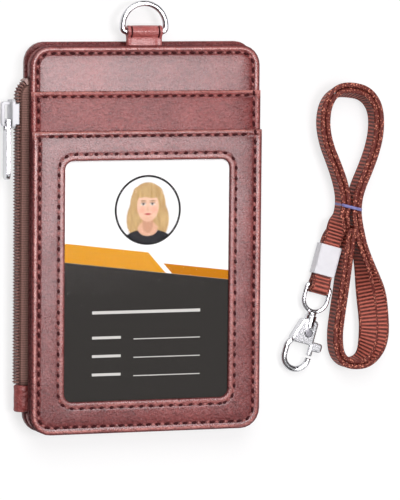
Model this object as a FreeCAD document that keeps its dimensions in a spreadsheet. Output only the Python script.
import FreeCAD, Part
import Sketcher
import math
import os

# Badge wallet lying on its back, front up, with its lanyard folded beside it.
# X runs across the wallet, Y towards the D-ring, Z up from the back face.

doc = FreeCAD.newDocument("badge_wallet")
sheet = doc.addObject("Spreadsheet::Sheet", "Sizes")

sizes = {
    # panels
    "panel_rim": 9, "panel_corner": 6, "back_rise": 1, "edge_round": 0.45,
    "back_thickness": 2, "base_thickness": 1.7, "leather_thickness": 0.7,
    "lining_thickness": 0.4, "pocket_depth": 3.4,
    "upper_slot_drop": 13.4, "lower_slot_drop": 25.1, "slot_gap": 0.2,
    "slot_margin": 4, "slot_depth": 70, "mouth_corner": 0.5,
    # window, film and card
    "window_overlap": 1.1, "window_top": 8.7, "window_bottom": 9.6, "window_corner": 2.6,
    "card_width": 54, "card_height": 85.6, "card_thickness": 0.5, "card_corner": 3.2,
    "card_margin": 1, "card_clearance": 0.06, "pocket_floor": 3, "mouth_drop": 0.8,
    "film_thickness": 0.2, "film_border": 1.5, "film_corner": 1,
    # gusset and lining
    "gusset_inset": 0.8, "gusset_thickness": 1, "lining_gap": 0.2,
    # zipper
    "zip_start": 14.7, "zip_straight_end": 15, "tape_thickness": 0.44, "tape_flange": 5,
    "tape_bend": 1.2, "tape_stand_out": 2, "tape_lip": 0.35,
    "teeth_width": 1.5, "teeth_gap": 0.7, "teeth_depth": 1.7, "tooth_depth": 0.7, "tooth_pitch": 1.3,
    "turn_radius": 5, "turn_angle": 55, "stop_angle": 13, "stop_border": 0.2,
    "end_tab_length": 8, "end_tab_reach": 3.6, "end_tab_root": 3,
    # slider and pull
    "slider_drop": 20, "slider_length": 8.5, "slider_width": 5.2, "slider_plate": 1, "slider_gap": 0.25,
    "slider_corner": 1.2, "flange_depth": 1.1, "flange_thickness": 0.5,
    "inner_plate_length": 6.5, "inner_plate_width": 2.2, "inner_plate": 0.6,
    "neck_length": 2, "neck_thickness": 0.4, "bail_length": 7.2, "bail_width": 1.6,
    "bail_bar": 0.9, "bail_rise": 1.85, "pull_bar": 1.2, "pull_width": 4, "pull_arm": 0.9,
    "pull_eye": 2.9, "pull_length": 18, "pull_from_bail": 1.6,
    # ring and its tab
    "ring_wire": 1.8, "ring_width": 15.3, "ring_side": 0.4, "ring_corner": 1.2, "ring_rise": 4.1,
    "ring_clearance": 0.08, "tab_width": 11, "tab_ply": 0.9, "tab_root": 6, "tab_clearance": 0.1,
    # lanyard
    "strap_width": 6, "strap_thickness": 1.2, "strap_pitch": 1.65, "strap_lean": 64,
    "band_wall": 0.6, "band_height": 1.4, "band_clearance": 0.12,
    "clasp_x": 61.5, "clasp_y": -3.4, "clasp_heading": 74.5, "clasp_height": 2.2,
    "crimp_start": 0.3, "crimp_length": 9.3, "crimp_wall": 0.45, "crimp_clearance": 0.06, "crimp_round": 0.4,
    "eye_wire": 1.4, "eye_width": 9.1, "eye_side": 3.2, "eye_corner": 0.8,
    "eye_place": 13.2, "eye_clearance": 0.08,
    "collar_length": 1, "collar_radius": 1.5, "stem_radius": 0.8, "head_radius": 1.25, "head_length": 0.8,
    "swivel_clearance": 0.08, "barrel_radius": 1.85, "barrel_length": 3.8,
    "barrel_lip": 1.7, "barrel_wall": 0.5,
    "cheek_length": 7.6, "cheek_width": 7.6, "cheek_thickness": 3, "cheek_round": 1.2,
    "cheek_rise": 2, "shoulder_width": 5,
    "hook_wire": 1.9, "hook_width": 9.8, "hook_side": 4.2, "hook_tip": 0.3, "hook_offset": 1.3,
    "gate_thickness": 1.2, "gate_slack": 0.1, "gate_width": 1.3, "gate_boss": 1.35, "gate_gap": 0.75,
    "gate_pivot_drop": 4.2, "gate_pivot_side": 0.2, "gate_bore_clearance": 0.05,
    "thumb_length": 2.8, "thumb_reach": 2.7, "thumb_drop": 3.6,
    "rivet_radius": 0.7, "rivet_head": 1.25, "rivet_head_height": 0.3,
    "spring_thickness": 0.25, "spring_seat": 0.12, "slot_back": 1.8,
    # cuts
    "overrun": 1,
}

for row, (alias, value) in enumerate(sizes.items(), 1):
    sheet.set("A%d" % row, alias)
    sheet.set("B%d" % row, str(value))
    sheet.setAlias("B%d" % row, alias)
doc.recompute()


def number(expression):
    return float(sheet.evalExpression(expression))


def size(alias):
    return float(getattr(sheet, alias))


# Heights of the layers, from the back face up, as expressions on the sheet
pocket_low = "Sizes.back_thickness + Sizes.lining_thickness"
pocket_high = pocket_low + " + Sizes.pocket_depth"
base_low = pocket_high + " + Sizes.lining_thickness"
base_high = base_low + " + Sizes.base_thickness"
card_panel_high = base_high + " + Sizes.slot_gap + Sizes.leather_thickness"
card_low = card_panel_high + " + Sizes.card_clearance"
film_low = card_low + " + Sizes.card_thickness + Sizes.card_clearance"
film_high = film_low + " + Sizes.film_thickness"
front_high = film_high + " + Sizes.leather_thickness"

# The panels are as wide as a card and its rim, and as high as a card, its pocket's floor and the slots
half_width = "(Sizes.card_width / 2 + Sizes.panel_rim)"
half_height = ("((Sizes.card_height + Sizes.card_margin / 2 + Sizes.pocket_floor + Sizes.mouth_drop"
               " + Sizes.lower_slot_drop) / 2)")
upper_slot = half_height + " - Sizes.upper_slot_drop"
lower_slot = half_height + " - Sizes.lower_slot_drop"


near_zero = 1e-5


def vector(x, y, z=0):
    return FreeCAD.Vector(x, y, z)


def plane_sketch(body, role, name, height):
    plane = [feature for feature in body.Origin.OriginFeatures if feature.Role == role][0]
    sketch = body.newObject("Sketcher::SketchObject", name)
    sketch.AttachmentSupport = [(plane, "")]
    sketch.MapMode = "FlatFace"
    sketch.setExpression("AttachmentOffset.Base.z", height)
    return sketch


# A rectangle with tangent corner arcs: its four sides and four radii are bound to the sheet
def rounded_rectangle(sketch, left, right, bottom, top, low_radius, high_radius):
    x0, x1, y0, y1 = number(left), number(right), number(bottom), number(top)
    a, b = number(low_radius), number(high_radius)
    up = vector(0, 0, 1)

    def line(ax, ay, bx, by):
        return Part.LineSegment(vector(ax, ay), vector(bx, by))

    def corner(cx, cy, radius, quarter):
        circle = Part.Circle(vector(cx, cy), up, radius)
        return Part.ArcOfCircle(circle, quarter * math.pi / 2, (quarter + 1) * math.pi / 2)

    sketch.addGeometry([
        line(x0 + a, y0, x1 - a, y0), corner(x1 - a, y0 + a, a, 3),
        line(x1, y0 + a, x1, y1 - b), corner(x1 - b, y1 - b, b, 0),
        line(x1 - b, y1, x0 + b, y1), corner(x0 + b, y1 - b, b, 1),
        line(x0, y1 - b, x0, y0 + a), corner(x0 + a, y0 + a, a, 2)], False)
    first = sketch.GeometryCount - 8
    for step in range(8):
        here = first + step
        after = first + (step + 1) % 8
        sketch.addConstraint(Sketcher.Constraint("Tangent", here, 2, after, 1))
    for step, kind in ((0, "Horizontal"), (2, "Vertical"), (4, "Horizontal"), (6, "Vertical")):
        sketch.addConstraint(Sketcher.Constraint(kind, first + step))
    for step, radius in ((1, low_radius), (3, high_radius), (5, high_radius), (7, low_radius)):
        index = sketch.addConstraint(Sketcher.Constraint("Radius", first + step, number(radius)))
        sketch.setExpression("Constraints[%d]" % index, radius)
    for step, kind, place in ((0, "DistanceY", bottom), (2, "DistanceX", right),
                              (4, "DistanceY", top), (6, "DistanceX", left)):
        value = number(place)
        ends = (-1, 1, first + step, 1) if value > 0 else (first + step, 1, -1, 1)
        index = sketch.addConstraint(Sketcher.Constraint(kind, *ends, abs(value)))
        sketch.setExpression("Constraints[%d]" % index, "abs(%s)" % place)


def plate(label, low, thickness, outline):
    body = doc.addObject("PartDesign::Body", label)
    sketch = plane_sketch(body, "XY_Plane", label + "_outline", low)
    rounded_rectangle(sketch, *outline)
    pad = body.newObject("PartDesign::Pad", label + "_pad")
    pad.Profile = sketch
    pad.setExpression("Length", thickness)
    doc.recompute()
    return body


# Cuts a rounded rectangle out of a body, from the height high downwards
def cut_plate(body, name, high, depth, outline):
    before = body.Shape.Volume
    sketch = plane_sketch(body, "XY_Plane", name + "_outline", high)
    rounded_rectangle(sketch, *outline)
    pocket = body.newObject("PartDesign::Pocket", name)
    pocket.Profile = sketch
    pocket.setExpression("Length", depth)
    doc.recompute()
    if body.Shape.Volume >= before:
        raise RuntimeError(name + " cut nothing")


# Rounds the edges of a body that lie at one height
def round_level(body, name, height, radius):
    level = number(height)
    edges = []
    for index, edge in enumerate(body.Shape.Edges, 1):
        box = edge.BoundBox
        if abs(box.ZMin - level) < near_zero and abs(box.ZMax - level) < near_zero:
            edges.append("Edge%d" % index)
    solid = body.Tip
    fillet = body.newObject("PartDesign::Fillet", name)
    fillet.Base = (solid, edges)
    fillet.setExpression("Radius", radius)
    doc.recompute()


def minus(expression):
    return "-(%s)" % expression


# Outlines of the front panels: full size, or cut straight across at a slot
def panel_outline(top, high_radius, inset="0"):
    side = half_width + " - " + inset
    return (minus(side), side, minus(half_height + " - " + inset), top,
            "Sizes.panel_corner - " + inset, high_radius)


full_outline = panel_outline(half_height, "Sizes.panel_corner")

back_outline = panel_outline(half_height + " + Sizes.back_rise", "Sizes.panel_corner")
back_panel = plate("back_panel", "0", "Sizes.back_thickness", back_outline)
round_level(back_panel, "back_panel_edge", "Sizes.back_thickness", "Sizes.edge_round")

base_panel = plate("base_panel", base_low, "Sizes.base_thickness", full_outline)
round_level(base_panel, "base_panel_edge", base_high, "Sizes.edge_round")

# The middle panel stands off the base panel by the upper slot, which opens at its top edge
card_panel = plate("card_panel", base_high, "Sizes.slot_gap + Sizes.leather_thickness",
                   panel_outline(upper_slot, "Sizes.mouth_corner"))
half_slot = "Sizes.card_width / 2 + Sizes.slot_margin"
cut_plate(card_panel, "upper_slot", base_high + " + Sizes.slot_gap", "Sizes.slot_gap",
          (minus(half_slot), half_slot, upper_slot + " - Sizes.slot_depth", upper_slot + " + Sizes.overrun",
           "Sizes.mouth_corner", "Sizes.mouth_corner"))
round_level(card_panel, "card_panel_edge", card_panel_high, "Sizes.edge_round")

# The window panel, hollowed behind for the film and the card, with its mouth at the top edge
window_panel = plate("window_panel", card_panel_high, "%s - (%s)" % (front_high, card_panel_high),
                     panel_outline(lower_slot, "Sizes.mouth_corner"))
half_pocket = "Sizes.card_width / 2 + Sizes.card_margin"
pocket_bottom = minus(half_height) + " + Sizes.pocket_floor"
cut_plate(window_panel, "card_pocket", film_high, "%s - (%s)" % (film_high, card_panel_high),
          (minus(half_pocket), half_pocket, pocket_bottom, lower_slot + " + Sizes.overrun",
           "Sizes.mouth_corner", "Sizes.mouth_corner"))
half_window = "Sizes.card_width / 2 - Sizes.window_overlap"
window_low = minus(half_height) + " + Sizes.window_bottom"
window_high = lower_slot + " - Sizes.window_top"
cut_plate(window_panel, "window", front_high, "Sizes.leather_thickness",
          (minus(half_window), half_window, window_low, window_high,
           "Sizes.window_corner", "Sizes.window_corner"))
round_level(window_panel, "window_panel_edge", front_high, "Sizes.edge_round")

half_film = half_window + " + Sizes.film_border"
plate("window_film", film_low, "Sizes.film_thickness",
      (minus(half_film), half_film, window_low + " - Sizes.film_border",
       window_high + " + Sizes.film_border", "Sizes.film_corner", "Sizes.film_corner"))

half_card = "Sizes.card_width / 2"
card_bottom = pocket_bottom + " + Sizes.card_margin / 2"
plate("id_card", card_low, "Sizes.card_thickness",
      (minus(half_card), half_card, card_bottom, card_bottom + " + Sizes.card_height",
       "Sizes.card_corner", "Sizes.card_corner"))

# Pocket linings, inside the gusset and clear of the zipper tape and the ring's tab
gusset_inner = "Sizes.gusset_inset + Sizes.gusset_thickness"
lining_inset = "(%s + Sizes.lining_gap)" % gusset_inner
lining_corner = "Sizes.panel_corner - " + lining_inset
lining_left = minus(half_width) + " + Sizes.tape_flange + Sizes.lining_gap"
lining_right = half_width + " - " + lining_inset
lining_bottom = minus(half_height) + " + " + lining_inset
plate("rear_lining", "Sizes.back_thickness", "Sizes.lining_thickness",
      (lining_left, lining_right, lining_bottom, half_height + " - " + lining_inset,
       lining_corner, lining_corner))
plate("front_lining", pocket_high, "Sizes.lining_thickness",
      (lining_left, lining_right, lining_bottom, half_height + " - Sizes.tab_root - Sizes.lining_gap",
       lining_corner, lining_corner))

# The gusset: a strip on edge between back and base panel, open on the left for the zipper
gusset_height = "%s - Sizes.back_thickness" % base_low
gusset = plate("gusset", "Sizes.back_thickness", gusset_height,
               panel_outline(half_height + " - Sizes.gusset_inset",
                             "Sizes.panel_corner - Sizes.gusset_inset", "Sizes.gusset_inset"))
cut_plate(gusset, "gusset_inside", base_low, gusset_height,
          panel_outline(half_height + " - (%s)" % gusset_inner, "Sizes.panel_corner - (%s)" % gusset_inner,
                        "(%s)" % gusset_inner))
zip_bottom = minus(half_height) + " + Sizes.zip_start"
zip_straight_top = half_height + " - Sizes.zip_straight_end"
stop_span = "Sizes.turn_angle + Sizes.stop_angle"
zip_top = zip_straight_top + " + Sizes.turn_radius * sin((%s) * 1deg) + Sizes.teeth_depth / 2" % stop_span
cut_plate(gusset, "zip_gap", base_low, gusset_height,
          (minus(half_width), minus(half_width) + " + %s + Sizes.mouth_corner" % gusset_inner,
           zip_bottom + " - Sizes.end_tab_length", zip_top, "Sizes.mouth_corner", "Sizes.mouth_corner"))
half_notch = "Sizes.tab_width / 2 + Sizes.tab_clearance"
tab_thickness = "2 * Sizes.tab_ply"
cut_plate(gusset, "tab_notch", base_low, tab_thickness + " + Sizes.tab_clearance",
          (minus(half_notch), half_notch, half_height + " - Sizes.panel_corner",
           half_height + " + Sizes.overrun", "Sizes.mouth_corner", "Sizes.mouth_corner"))


def heading_vector(degrees):
    return vector(math.cos(math.radians(degrees)), math.sin(math.radians(degrees)))


def left_of(direction):
    return vector(-direction.y, direction.x)


# Angle of an arc from start to end about its centre, with the sign of its turning sense
def sweep_of(start, end, centre, sense):
    begin = start - centre
    finish = end - centre
    sweep = math.atan2(begin.x * finish.y - begin.y * finish.x, begin.dot(finish))
    if sweep * sense < 0:
        sweep += sense * 2 * math.pi
    return sweep


def feature(label, shape):
    part = doc.addObject("Part::Feature", label)
    part.Shape = shape
    return part


def polygon_face(points):
    return Part.Face(Part.makePolygon(list(points) + [points[0]]))


# Zipper. Its two halves mirror each other about the mid plane of the pocket.
zip_mid = number("(Sizes.back_thickness + %s) / 2" % base_low)
panel_left = -number(half_width)
panel_top = number(half_height)
zip_low_y = number(zip_bottom)
zip_high_y = number(zip_straight_top)
tape_out = panel_left - size("tape_stand_out")
teeth_in = tape_out - size("tape_thickness") / 2
teeth_out = teeth_in - size("teeth_depth")
turn_x = teeth_in - size("teeth_depth") / 2 + size("turn_radius")
teeth_near = size("teeth_gap") / 2
teeth_far = teeth_near + size("teeth_width")
flange_height = number(base_low) - size("tape_thickness") / 2 - zip_mid


# Section of a tape, from its flange under a panel, round a bend, to the lip that carries the teeth
def tape_section(root_x, side):
    bend = size("tape_bend")
    half = size("tape_thickness") / 2
    bend_x = tape_out + bend
    bend_z = flange_height - bend
    lip = teeth_near

    def at(x, z):
        return vector(x, zip_low_y, zip_mid + side * z)

    def arc(radius):
        middle = radius * math.sqrt(0.5)
        return Part.Arc(at(bend_x, bend_z + radius), at(bend_x - middle, bend_z + middle),
                        at(bend_x - radius, bend_z)).toShape()

    outer = bend + half
    inner = bend - half
    edges = [
        Part.makeLine(at(root_x, bend_z + outer), at(bend_x, bend_z + outer)), arc(outer),
        Part.makeLine(at(bend_x - outer, bend_z), at(bend_x - outer, lip)),
        Part.makeLine(at(bend_x - outer, lip), at(bend_x - inner, lip)),
        Part.makeLine(at(bend_x - inner, lip), at(bend_x - inner, bend_z)), arc(inner),
        Part.makeLine(at(bend_x, bend_z + inner), at(root_x, bend_z + inner)),
        Part.makeLine(at(root_x, bend_z + inner), at(root_x, bend_z + outer))]
    return Part.Face(Part.Wire(Part.__sortEdges__(edges)))


turn_centre = vector(turn_x, zip_high_y)
turn_axis = vector(0, 0, -1)


def zip_tape(label, side):
    run = tape_section(panel_left + size("tape_flange"), side).extrude(vector(0, zip_high_y - zip_low_y))
    bend = tape_section(panel_left + size("gusset_inset"), side)
    bend.translate(vector(0, zip_high_y - zip_low_y))
    bend = bend.revolve(turn_centre, turn_axis, size("turn_angle") + size("stop_angle"))
    return feature(label, run.fuse(bend).removeSplitter())


# A row of teeth: a comb along the straight run and round the turn at the top
def zip_teeth(label, side):
    straight = zip_high_y - zip_low_y
    radius = size("turn_radius")
    length = straight + radius * math.radians(size("turn_angle"))
    count = int(length / size("tooth_pitch"))
    pitch = length / count
    root = size("teeth_depth") / 2
    tip = root
    gullet = root - size("tooth_depth")

    def at(run, out):
        if run <= straight:
            return vector(turn_x - radius - out, zip_low_y + run)
        angle = (run - straight) / radius
        reach = radius + out
        return vector(turn_x - reach * math.cos(angle), zip_high_y + reach * math.sin(angle))

    outside = []
    for tooth in range(count):
        start = tooth * pitch
        outside += [at(start, gullet), at(start + pitch / 4, tip),
                    at(start + pitch / 2, tip), at(start + 3 * pitch / 4, gullet)]
    outside.append(at(length, gullet))
    edges = [Part.makeLine(*ends) for ends in zip(outside, outside[1:])]
    edges += [
        Part.makeLine(at(length, gullet), at(length, -root)),
        Part.Arc(at(length, -root), at((straight + length) / 2, -root), at(straight, -root)).toShape(),
        Part.makeLine(at(straight, -root), at(0, -root)),
        Part.makeLine(at(0, -root), at(0, gullet))]
    face = Part.Face(Part.Wire(edges))
    low = zip_mid + (teeth_near if side > 0 else -teeth_far)
    face.translate(vector(0, 0, low))
    return feature(label, face.extrude(vector(0, 0, size("teeth_width"))))


for side, name in ((1, "front"), (-1, "rear")):
    zip_tape("zip_tape_" + name, side)
    zip_teeth("zip_teeth_" + name, side)

stop_reach = size("turn_radius") + size("teeth_depth") / 2
stop_half = teeth_far + size("stop_border")
stop_outer = turn_x - stop_reach
stop_inner = stop_outer + size("teeth_depth")
stop_corners = [(stop_outer, -stop_half), (stop_outer, stop_half),
                (stop_inner, stop_half), (stop_inner, -stop_half)]
stop_section = polygon_face([vector(x, zip_high_y, zip_mid + z) for x, z in stop_corners])
stop_section.rotate(turn_centre, turn_axis, size("turn_angle"))
feature("zip_top_stop", stop_section.revolve(turn_centre, turn_axis, size("stop_angle")))

# The folded leather tab over the lower end of the zipper
tab_nose = number("(%s - Sizes.back_thickness) / 2" % base_low)
nose_x = panel_left - size("end_tab_reach") + tab_nose
tab_y = zip_low_y - size("end_tab_length")
tab_edges = [
    Part.makeLine(vector(panel_left + size("end_tab_root"), tab_y, zip_mid + tab_nose),
                  vector(nose_x, tab_y, zip_mid + tab_nose)),
    Part.Arc(vector(nose_x, tab_y, zip_mid + tab_nose), vector(nose_x - tab_nose, tab_y, zip_mid),
             vector(nose_x, tab_y, zip_mid - tab_nose)).toShape(),
    Part.makeLine(vector(nose_x, tab_y, zip_mid - tab_nose),
                  vector(panel_left + size("end_tab_root"), tab_y, zip_mid - tab_nose)),
    Part.makeLine(vector(panel_left + size("end_tab_root"), tab_y, zip_mid - tab_nose),
                  vector(panel_left + size("end_tab_root"), tab_y, zip_mid + tab_nose))]
feature("zip_end_tab", Part.Face(Part.Wire(tab_edges)).extrude(vector(0, size("end_tab_length"))))


def box_at(low, high):
    low, high = vector(*low), vector(*high)
    corner = vector(min(low.x, high.x), min(low.y, high.y), min(low.z, high.z))
    span = high - low
    return Part.makeBox(abs(span.x), abs(span.y), abs(span.z), corner)


# Slider: an outer plate with its bail, side flanges, and an inner plate on a thin neck between the teeth
slider_y = panel_top - size("slider_drop")
plate_in = teeth_out - size("slider_gap")
plate_out = plate_in - size("slider_plate")
half_length = size("slider_length") / 2
half_slider = size("slider_width") / 2
outer_plate = box_at((plate_in, slider_y - half_length, zip_mid - half_slider),
                     (plate_out, slider_y + half_length, zip_mid + half_slider))
across = [edge for edge in outer_plate.Edges if edge.BoundBox.XLength > size("slider_plate") / 2]
outer_plate = outer_plate.makeFillet(size("slider_corner"), across)
slider_pieces = []
flange_half = half_length - size("slider_corner")
for side in (1, -1):
    flange_low = zip_mid + side * (half_slider - size("flange_thickness"))
    slider_pieces.append(box_at((plate_in + size("flange_depth"), slider_y - flange_half, flange_low),
                                (plate_out, slider_y + flange_half, zip_mid + side * half_slider)))
inner_out = tape_out + size("tape_thickness") / 2 + size("slider_gap")
inner_in = inner_out + size("inner_plate")
half_inner = size("inner_plate_length") / 2
half_inner_width = size("inner_plate_width") / 2
slider_pieces.append(box_at((inner_in, slider_y - half_inner, zip_mid - half_inner_width),
                            (inner_out, slider_y + half_inner, zip_mid + half_inner_width)))
half_neck = size("neck_thickness") / 2
slider_pieces.append(box_at((inner_in, slider_y + half_inner - size("neck_length"), zip_mid - half_neck),
                            (plate_out, slider_y + half_inner, zip_mid + half_neck)))
bail_in = plate_out - size("bail_rise")
bail_out = bail_in - size("bail_bar")
half_bail = size("bail_length") / 2
bail = box_at((plate_in, slider_y - half_bail, zip_mid - size("bail_width") / 2),
              (bail_out, slider_y + half_bail, zip_mid + size("bail_width") / 2))
bail_corners = [edge for edge in bail.Edges if edge.BoundBox.ZLength > size("bail_width") / 2
                and abs(edge.BoundBox.Center.x - bail_out) < size("bail_bar") / 2]
bail = bail.makeFillet(size("bail_bar"), bail_corners)
bail = bail.cut(box_at((plate_out, slider_y - half_bail + size("bail_bar"), zip_mid - size("bail_width")),
                       (bail_in, slider_y + half_bail - size("bail_bar"), zip_mid + size("bail_width"))))
slider_pieces.append(bail)
feature("zip_slider", outer_plate.multiFuse(slider_pieces).removeSplitter())

# Pull: a flat tab with a square eye, whose upper bar turns inside the bail
pull_x = (plate_out + bail_in) / 2
pull_y = slider_y - half_bail + size("pull_from_bail")
half_bar = size("pull_bar") / 2
half_pull = size("pull_width") / 2
pull_round_share = 0.9
pull = box_at((pull_x - half_bar, pull_y - size("pull_length") + half_bar, zip_mid - half_pull),
              (pull_x + half_bar, pull_y, zip_mid + half_pull))
pull_ends = [edge for edge in pull.Edges if edge.BoundBox.XLength > half_bar
             and edge.BoundBox.Center.y < pull_y - half_pull]
pull = pull.makeFillet(half_pull * pull_round_share, pull_ends)
eye_half = half_pull - size("pull_arm")
pull = pull.cut(box_at((pull_x - size("pull_bar"), pull_y - size("pull_eye"), zip_mid - eye_half),
                       (pull_x + size("pull_bar"), pull_y + size("overrun"), zip_mid + eye_half)))
pull_pin = Part.makeCylinder(half_bar, size("pull_width"), vector(pull_x, pull_y, zip_mid - half_pull))
feature("zip_pull", pull.fuse(pull_pin).removeSplitter())


# Round wire along lines and arcs in the XY plane, each given as start, end, centre and turning sense
def round_wire(pieces, wire):
    solids = []
    for start, end, centre, sense in pieces:
        chord = end - start
        if centre is None:
            solids.append(Part.makeCylinder(wire / 2, chord.Length, start, chord))
            continue
        begin = start - centre
        section = Part.Face(Part.Wire(Part.makeCircle(wire / 2, start, left_of(begin) * sense)))
        sweep = abs(sweep_of(start, end, centre, sense))
        solids.append(section.revolve(centre, vector(0, 0, sense), math.degrees(sweep)))
    return solids[0].multiFuse(solids[1:]).removeSplitter()


# A closed D of round wire: a straight bar, two rounded corners, two sides and a half circle.
# The bar lies along X at the origin and the D stands towards +Y.
def wire_ring(wire, width, side, corner):
    half = (width - wire) / 2
    high = corner + side
    return round_wire([
        (vector(corner - half, 0), vector(half - corner, 0), None, 0),
        (vector(half - corner, 0), vector(half, corner), vector(half - corner, corner), 1),
        (vector(half, corner), vector(half, high), None, 0),
        (vector(half, high), vector(0, high + half), vector(0, high), 1),
        (vector(0, high + half), vector(-half, high), vector(0, high), 1),
        (vector(-half, high), vector(-half, corner), None, 0),
        (vector(-half, corner), vector(corner - half, 0), vector(corner - half, corner), 1)], wire)


ring_y = panel_top + size("ring_rise")
ring_z = number(base_low) - size("tab_ply")
ring = wire_ring(size("ring_wire"), size("ring_width"), size("ring_side"), size("ring_corner"))
ring.translate(vector(0, ring_y, ring_z))
feature("d_ring", ring)

# The leather tab: folded round the ring's bar, its root sewn behind the base panel
loop_in = size("ring_wire") / 2 + size("ring_clearance")
loop_out = loop_in + size("tab_ply")
half_tab = size("tab_width") / 2
tab_loop = Part.makeCylinder(loop_out, size("tab_width"), vector(-half_tab, ring_y, ring_z), vector(1, 0, 0))
tab_root = box_at((-half_tab, panel_top - size("tab_root"), ring_z - size("tab_ply")),
                  (half_tab, ring_y, ring_z + size("tab_ply")))
tab_bore = Part.makeCylinder(loop_in, size("tab_width") + 2 * size("overrun"),
                             vector(-half_tab - size("overrun"), ring_y, ring_z), vector(1, 0, 0))
feature("ring_tab", tab_loop.fuse(tab_root).cut(tab_bore).removeSplitter())

# Lanyard. The two runs of the strap lie side by side on edge, and fold into a hank of two loops.
# Each row is a point of the middle line between the two runs, with its heading in degrees.
upper_route = [
    (63.9, 6.6, 82), (64.0, 9.6, 92), (61.2, 19.6, 111), (58.5, 25.9, 108), (57.4, 34.0, 90),
    (65.7, 43.6, 0), (74.2, 33.0, -90), (72.8, 25.5, -107), (70.8, 19.5, -110), (67.3, 9.6, -92),
    (67.4, 6.6, -83), (69.9, -2.0, -71)]
# the right-hand side of the lower loop, which leans outwards
leaning_route = upper_route[-1:] + [
    (72.8, -12.0, -75), (75.0, -22.0, -87), (74.5, -31.0, -100), (67.9, -39.2, 180)]
# up the left-hand side to the fold
lower_route = leaning_route[-1:] + [
    (62.5, -33.0, 94), (62.8, -26.0, 86), (64.9, -14.0, 78), (66.9, -4.6, 78)]
tie_left = upper_route[1]
tie_right = upper_route[9]

strap_low = size("band_wall")
half_ply = size("strap_thickness") / 2
half_pitch = size("strap_pitch") / 2


# Two tangent arcs from a point and heading to another
def biarc(start, start_heading, end, end_heading):
    first, last = heading_vector(start_heading), heading_vector(end_heading)
    chord = end - start
    total = first + last
    along = chord.dot(total)
    spread = 2 * (1 - first.dot(last))
    if abs(spread) < near_zero:
        reach = chord.dot(chord) / (4 * chord.dot(last))
    else:
        reach = (-along + math.sqrt(along * along + spread * chord.dot(chord))) / spread
    middle = (start + end + (first - last) * reach) * 0.5
    return [arc_from(start, first, middle), arc_back(middle, end, last)]


# An arc, or a line where it is straight, as start, end, centre and turning sense
def arc_from(start, direction, end):
    chord = end - start
    side = left_of(direction)
    lean = side.dot(chord)
    if abs(lean) < near_zero:
        return start, end, None, 0
    return start, end, start + side * (chord.dot(chord) / (2 * lean)), math.copysign(1, lean)


def arc_back(start, end, direction):
    flipped = arc_from(end, direction * -1, start)
    return start, end, flipped[2], -flipped[3]


def route_pieces(route):
    pieces = []
    for here, after in zip(route, route[1:]):
        pieces += biarc(vector(*here[:2]), here[2], vector(*after[:2]), after[2])
    return pieces


# The point of an arc at a share of its length, moved to the left by an offset
def point_on(piece, share, offset):
    start, end, centre, sense = piece
    if centre is None:
        side = left_of((end - start).normalize())
        return start + (end - start) * share + side * offset
    begin = start - centre
    angle = math.atan2(begin.y, begin.x) + sweep_of(start, end, centre, sense) * share
    radius = begin.Length - sense * offset
    return centre + vector(math.cos(angle), math.sin(angle)) * radius


def offset_edges(pieces, offset):
    edges = []
    for piece in pieces:
        ends = point_on(piece, 0, offset), point_on(piece, 1, offset)
        if piece[2] is None:
            edges.append(Part.makeLine(*ends))
        else:
            edges.append(Part.Arc(ends[0], point_on(piece, 0.5, offset), ends[1]).toShape())
    return edges


def half_circle(start, beyond, end):
    return Part.Arc(start, beyond, end).toShape()


# Both runs in plan along a stretch; the last stretch ends in the fold that joins them
def runs_in_plan(pieces, folded):
    last = pieces[-1]
    tip = point_on(last, 1, 0)
    ahead = heading_vector(lower_route[-1][2])
    outer = half_pitch + half_ply
    inner = half_pitch - half_ply
    if folded:
        edges = []
        for reach in (outer, inner):
            edges += offset_edges(pieces, reach) + offset_edges(pieces, -reach)
            ends = point_on(last, 1, reach), point_on(last, 1, -reach)
            edges.append(half_circle(ends[0], tip + ahead * reach, ends[1]))
        for side in (1, -1):
            edges.append(Part.makeLine(point_on(pieces[0], 0, side * outer),
                                       point_on(pieces[0], 0, side * inner)))
        return [Part.Face(Part.Wire(Part.__sortEdges__(edges)))]
    faces = []
    for side in (1, -1):
        edges = offset_edges(pieces, side * outer) + offset_edges(pieces, side * inner)
        for piece, end in ((pieces[0], 0), (last, 1)):
            edges.append(Part.makeLine(point_on(piece, end, side * outer),
                                       point_on(piece, end, side * inner)))
        faces.append(Part.Face(Part.Wire(Part.__sortEdges__(edges))))
    return faces


def standing_runs(pieces, folded):
    solids = [face.extrude(vector(0, 0, size("strap_width"))) for face in runs_in_plan(pieces, folded)]
    for solid in solids:
        solid.translate(vector(0, 0, strap_low))
    return solids


upper_pieces = route_pieces(upper_route)
lean_pieces = route_pieces(leaning_route)
lower_pieces = route_pieces(lower_route)

# The clasp's own frame: from the crimp's mouth, down along the clasp, and to its right
clasp_up = heading_vector(size("clasp_heading"))
clasp_down = clasp_up * -1
clasp_right = left_of(clasp_up) * -1
clasp_start = vector(size("clasp_x"), size("clasp_y"), size("clasp_height"))
clasp_place = FreeCAD.Placement(FreeCAD.Matrix(
    clasp_right.x, clasp_up.x, 0, clasp_start.x,
    clasp_right.y, clasp_up.y, 0, clasp_start.y,
    0, 0, 1, clasp_start.z,
    0, 0, 0, 1))


# In that frame X is to the clasp's right, Y is up towards the strap and Z is up from the floor
def on_clasp(shape):
    shape = shape.copy()
    shape.Placement = clasp_place.multiply(shape.Placement)
    return shape


# The pair of runs at one place: its centre, the way across its thickness and the way across its width.
# At no turn it stands on edge, and at a quarter turn it lies flat.
def pair_frame(centre, left, angle, spread=0):
    up = vector(0, 0, 1)
    thick_way = left * math.cos(angle) + up * math.sin(angle)
    wide_way = up * math.cos(angle) - left * math.sin(angle)
    standing = strap_low + size("strap_width") / 2
    height = standing * math.cos(angle) + size("clasp_height") * abs(math.sin(angle))
    return vector(centre.x, centre.y, height), thick_way * (1 + spread), wide_way


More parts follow.
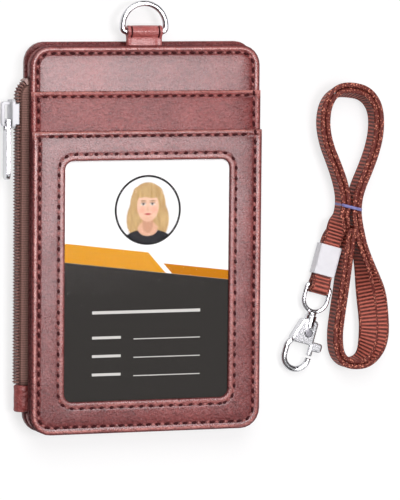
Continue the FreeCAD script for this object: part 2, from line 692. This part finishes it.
def run_section(frame, side):
    centre, thick_way, wide_way = frame
    middle = centre + thick_way * (side * half_pitch)
    reach = FreeCAD.Vector(thick_way).normalize() * half_ply
    width = wide_way * (size("strap_width") / 2)
    corners = [middle + reach + width, middle + reach - width,
               middle - reach - width, middle - reach + width]
    return Part.makePolygon(corners + corners[:1])


def lofted_runs(frames):
    return [Part.makeLoft([run_section(frame, side) for frame in frames], True, False) for side in (1, -1)]


# Where the pair leans: upright at both ends of the stretch, most in its middle
lean_count = 5
lean_spread_share = 0.2
twist_spread_share = 0.6
lean_frames = []
for place, piece in enumerate(lean_pieces):
    first_step = 0 if place == 0 else 1
    for step in range(first_step, lean_count + 1):
        share = step / lean_count
        centre = point_on(piece, share, 0)
        left = (point_on(piece, share, half_pitch) - centre).normalize()
        swell = math.sin(math.pi * (place + share) / len(lean_pieces)) ** 2
        angle = math.radians(size("strap_lean")) * swell
        lean_frames.append(pair_frame(centre, left, -angle, lean_spread_share * swell))

# From the hank's first point down to the crimp the pair turns from standing to lying flat
twist_count = 10
twist_frames = []
for step in range(twist_count + 1):
    share = step / twist_count
    square = share * share
    cube = square * share
    start = vector(*upper_route[0][:2])
    end = vector(clasp_start.x, clasp_start.y)
    first = heading_vector(upper_route[0][2]) * -(end - start).Length
    last = heading_vector(size("clasp_heading")) * -(end - start).Length
    centre = (start * (2 * cube - 3 * square + 1) + first * (cube - 2 * square + share)
              + end * (3 * square - 2 * cube) + last * (cube - square))
    slope = (start * (6 * square - 6 * share) + first * (3 * square - 4 * share + 1)
             + end * (6 * share - 6 * square) + last * (3 * square - 2 * share))
    left = left_of(slope.normalize() * -1)
    swell = math.sin(math.pi * share)
    turn = (3 * square - 2 * cube) * math.pi / 2
    twist_frames.append(pair_frame(centre, left, turn, twist_spread_share * swell))

# Below the crimp the strap goes round the eye's bar and back: a band in the clasp's Y Z plane
loop_radius = size("eye_wire") / 2 + size("eye_clearance") + half_ply
eye_y = -size("eye_place")
loop_run = size("crimp_start") + size("crimp_length") + half_pitch


def strap_end():
    spread = biarc(vector(loop_run, half_pitch), 0, vector(-eye_y, loop_radius), 0)
    run = [(vector(0, half_pitch), vector(loop_run, half_pitch), None, 0)] + spread
    edges = []
    for offset in (half_ply, -half_ply):
        upper = offset_edges(run, offset)
        lower = [edge.mirror(vector(0, 0), vector(0, 1)) for edge in upper]
        reach = loop_radius + offset
        edges += upper + lower
        edges.append(half_circle(vector(-eye_y, reach), vector(-eye_y + reach, 0), vector(-eye_y, -reach)))
    for side in (1, -1):
        edges.append(Part.makeLine(vector(0, side * (half_pitch - half_ply)),
                                   vector(0, side * (half_pitch + half_ply))))
    face = Part.Face(Part.Wire(Part.__sortEdges__(edges)))
    band = face.extrude(vector(0, 0, size("strap_width")))
    band.translate(vector(0, 0, -size("strap_width") / 2))
    # plan X goes down the clasp, plan Y goes up, and the extrusion goes across
    band.Placement = FreeCAD.Placement(FreeCAD.Matrix(
        0, 0, -1, 0,
        -1, 0, 0, 0,
        0, 1, 0, 0,
        0, 0, 0, 1)).multiply(band.Placement)
    return on_clasp(band)


strap_solids = standing_runs(upper_pieces, False) + standing_runs(lower_pieces, True)
strap_solids += lofted_runs(lean_frames) + lofted_runs(twist_frames) + [strap_end()]
feature("lanyard_strap", strap_solids[0].multiFuse(strap_solids[1:]).removeSplitter())


# Least gap between stretches of the strap that lie beside each other, on points of both runs
def least_gap():
    frames = list(reversed(twist_frames))
    for pieces, between in ((upper_pieces, None), (lean_pieces, lean_frames), (lower_pieces, None)):
        if between:
            frames += between
            continue
        for piece in pieces:
            count = max(2, int((piece[1] - piece[0]).Length / half_ply))
            for step in range(count):
                centre = point_on(piece, step / count, 0)
                left = (point_on(piece, step / count, half_pitch) - centre).normalize()
                frames.append(pair_frame(centre, left, 0))
    points = []
    run = 0
    for place, (centre, thick_way, wide_way) in enumerate(frames):
        run += (centre - frames[place - 1][0]).Length if place else 0
        for side in (1, -1):
            for share in (-0.5, -0.25, 0, 0.25, 0.5):
                point = centre + thick_way * (side * half_pitch) + wide_way * (share * size("strap_width"))
                points.append((run, side, point))
    apart = 2 * size("strap_width")
    least = apart
    for place, (run, side, point) in enumerate(points):
        for other_run, other_side, other in points[:place]:
            if abs(other.x - point.x) < least and abs(other.y - point.y) < least:
                if other_side != side or abs(run - other_run) > apart:
                    least = min(least, (point - other).Length)
    return least - size("strap_thickness")


print("least gap of the strap to itself %.2f mm" % least_gap())
print("radii of the hank", sorted(round((piece[0] - piece[2]).Length, 1)
                                  for piece in upper_pieces + lean_pieces + lower_pieces if piece[2])[:6])

# The elastic band round the waist of the hank
band_x = (tie_left[0] + tie_right[0]) / 2
band_y = (upper_route[0][1] + tie_left[1]) / 2
band_half = (tie_right[0] - tie_left[0]) / 2 + half_pitch + half_ply + size("band_clearance")
band_high = strap_low + size("strap_width") + size("band_clearance")
wall = size("band_wall")
band = box_at((band_x - band_half - wall, band_y - size("band_height") / 2, 0),
              (band_x + band_half + wall, band_y + size("band_height") / 2, band_high + wall))
band = band.makeFillet(wall, [edge for edge in band.Edges if edge.BoundBox.YLength > wall])
band = band.cut(box_at((band_x - band_half, band_y - size("band_height"), strap_low),
                       (band_x + band_half, band_y + size("band_height"), band_high)))
feature("tie_band", band)

# Crimp: a folded metal sleeve round both runs
crimp_half = size("strap_width") / 2 + size("crimp_clearance")
crimp_deep = half_pitch + half_ply + size("crimp_clearance")
crimp_top = -size("crimp_start")
crimp_bottom = crimp_top - size("crimp_length")
crimp_wall = size("crimp_wall")
crimp = box_at((-crimp_half - crimp_wall, crimp_bottom, -crimp_deep - crimp_wall),
               (crimp_half + crimp_wall, crimp_top, crimp_deep + crimp_wall))
crimp = crimp.makeFillet(size("crimp_round"), [edge for edge in crimp.Edges
                                               if edge.BoundBox.YLength > size("crimp_length") / 2])
crimp = crimp.cut(box_at((-crimp_half, crimp_bottom - size("overrun"), -crimp_deep),
                         (crimp_half, crimp_top + size("overrun"), crimp_deep)))
feature("lanyard_crimp", on_clasp(crimp))


def rod(radius, low_y, high_y, x=0):
    return Part.makeCylinder(radius, high_y - low_y, vector(x, low_y, 0), vector(0, 1, 0))


# Swivel eye: a D of wire in the strap's end loop, with a collar, a stem and a head in the hook's barrel
eye = wire_ring(size("eye_wire"), size("eye_width"), size("eye_side"), size("eye_corner"))
eye.rotate(vector(0, 0), vector(0, 0, 1), 180)
eye.translate(vector(0, eye_y))
eye_foot = eye_y - size("eye_corner") - size("eye_side") - (size("eye_width") - size("eye_wire")) / 2
collar_low = eye_foot - size("eye_wire") / 2 - size("collar_length") / 2
barrel_high = collar_low - size("swivel_clearance")
chamber_high = barrel_high - size("barrel_lip")
head_high = chamber_high - size("swivel_clearance")
head_low = head_high - size("head_length")
eye = eye.multiFuse([rod(size("collar_radius"), collar_low, collar_low + size("collar_length")),
                     rod(size("stem_radius"), head_low, collar_low),
                     rod(size("head_radius"), head_low, head_high)]).removeSplitter()
feature("swivel_eye", on_clasp(eye))

# Hook: a barrel, two cheeks round the gate, and the fixed hook
barrel_low = barrel_high - size("barrel_length")
cheek_high = barrel_low + size("barrel_wall") + size("cheek_rise")
cheek_low = cheek_high - size("cheek_length")
half_cheek = size("cheek_width") / 2
half_thick = size("cheek_thickness") / 2
shoulder = size("shoulder_width") / 2
lean = size("hook_offset")
cheeks = polygon_face([vector(-shoulder, cheek_high, -half_thick), vector(shoulder, cheek_high, -half_thick),
                       vector(half_cheek - lean, cheek_low, -half_thick),
                       vector(-half_cheek - lean, cheek_low, -half_thick)])
cheeks = cheeks.extrude(vector(0, 0, size("cheek_thickness")))
cheeks = cheeks.makeFillet(size("cheek_round"), [edge for edge in cheeks.Edges
                                                 if edge.BoundBox.ZLength > half_thick])
hook_half = (size("hook_width") - size("hook_wire")) / 2
hook_left = -hook_half - size("hook_offset")
hook_right = hook_half - size("hook_offset")
hook_turn = cheek_low - size("hook_side")
hook_tip = hook_turn + size("hook_tip")
hook_root = vector(-half_cheek - lean + size("hook_wire"), cheek_low + size("hook_wire"))
hook_side_top = vector(hook_left, hook_turn + size("hook_side") / 2)
hook_start = cheek_low + size("hook_wire") - hook_side_top.y
hook_heading = -90 - math.degrees(math.atan2(hook_root.x - hook_side_top.x, hook_start))
hook_foot = vector(-size("hook_offset"), hook_turn - hook_half)
hook_centre = vector(-size("hook_offset"), hook_turn)
fixed_hook = round_wire(biarc(hook_root, hook_heading, hook_side_top, -90) + [
    (hook_side_top, vector(hook_left, hook_turn), None, 0),
    (vector(hook_left, hook_turn), hook_foot, hook_centre, 1),
    (hook_foot, vector(hook_right, hook_turn), hook_centre, 1),
    (vector(hook_right, hook_turn), vector(hook_right, hook_tip), None, 0)], size("hook_wire"))
gate_x = size("gate_pivot_side")
gate_y = cheek_high - size("gate_pivot_drop")
gate_half = size("gate_thickness") / 2
slot_half = gate_half + size("gate_slack")
slot_high = gate_y + size("gate_boss") + size("gate_slack")
gate_slot = box_at((-size("slot_back"), cheek_low - size("overrun"), -slot_half),
                   (half_cheek + size("overrun"), slot_high, slot_half))
rivet_hole = Part.makeCylinder(size("rivet_radius"), size("cheek_thickness"),
                               vector(gate_x, gate_y, -half_thick))
swivel_clearance = size("swivel_clearance")
chamber = rod(size("head_radius") + swivel_clearance, head_low - swivel_clearance, chamber_high)
stem_bore = rod(size("stem_radius") + size("swivel_clearance"), chamber_high, barrel_high)
hook = rod(size("barrel_radius"), barrel_low, barrel_high).multiFuse([cheeks, fixed_hook])
hook = hook.cut(chamber).cut(stem_bore).cut(gate_slot).cut(rivet_hole).removeSplitter()
feature("hook_body", on_clasp(hook))

# Gate: a boss on the rivet, a lever down to the hook's tip, and a thumb tab on its outer side
gate_low = hook_tip + size("gate_gap")
lever_half = size("gate_width") / 2
lever_top = gate_y - size("gate_boss")
lever = polygon_face([vector(gate_x, gate_y + size("gate_boss") / 2, -gate_half),
                      vector(hook_right + lever_half, lever_top - size("gate_boss"), -gate_half),
                      vector(hook_right + lever_half, gate_low, -gate_half),
                      vector(hook_right - lever_half, gate_low, -gate_half),
                      vector(hook_right - lever_half, lever_top - size("gate_boss"), -gate_half),
                      vector(gate_x - lever_half, gate_y, -gate_half)])
lever = lever.extrude(vector(0, 0, size("gate_thickness")))
thumb_y = gate_y - size("thumb_drop")
half_thumb = size("thumb_length") / 2
thumb = box_at((hook_right, thumb_y - half_thumb, -gate_half),
               (hook_right + lever_half + size("thumb_reach"), thumb_y + half_thumb, gate_half))
thumb = thumb.makeFillet(size("thumb_length") / 3, [edge for edge in thumb.Edges
                                                    if edge.BoundBox.ZLength > gate_half
                                                    and edge.BoundBox.Center.x > hook_right + lever_half])
boss = Part.makeCylinder(size("gate_boss"), size("gate_thickness"), vector(gate_x, gate_y, -gate_half))
gate_bore = Part.makeCylinder(size("rivet_radius") + size("gate_bore_clearance"), size("cheek_thickness"),
                              vector(gate_x, gate_y, -half_thick))
gate = lever.multiFuse([boss, thumb]).cut(gate_bore).removeSplitter()
feature("hook_gate", on_clasp(gate))

rivet = Part.makeCylinder(size("rivet_radius"), size("cheek_thickness"), vector(gate_x, gate_y, -half_thick))
rivet_heads = [Part.makeCylinder(size("rivet_head"), size("rivet_head_height"),
                                 vector(gate_x, gate_y, low))
               for low in (half_thick, -half_thick - size("rivet_head_height"))]
feature("gate_rivet", on_clasp(rivet.multiFuse(rivet_heads).removeSplitter()))

# Return spring: a leaf on the back wall of the gate's slot
spring_x = -size("slot_back")
spring = box_at((spring_x, cheek_low + size("spring_seat"), -slot_half),
                (spring_x + size("spring_thickness"), gate_y, slot_half))
feature("gate_spring", on_clasp(spring))

doc.recompute()
os.makedirs("parts", exist_ok=True)
sub_parts = [item for item in doc.Objects if item.TypeId in ("PartDesign::Body", "Part::Feature")]
for item in doc.Objects:
    if "Invalid" in item.State or "Error" in item.State:
        raise RuntimeError("%s failed: %s" % (item.Label, item.State))
for item in sub_parts:
    if item.Shape.isNull() or not item.Shape.isValid() or not item.Shape.Solids:
        raise RuntimeError("%s has no valid solid" % item.Label)
for item in sub_parts:
    item.Shape.exportStep(os.path.join("parts", item.Label + ".step"))
    print(item.Label, len(item.Shape.Solids), "solid", round(item.Shape.Volume, 2), "mm3")
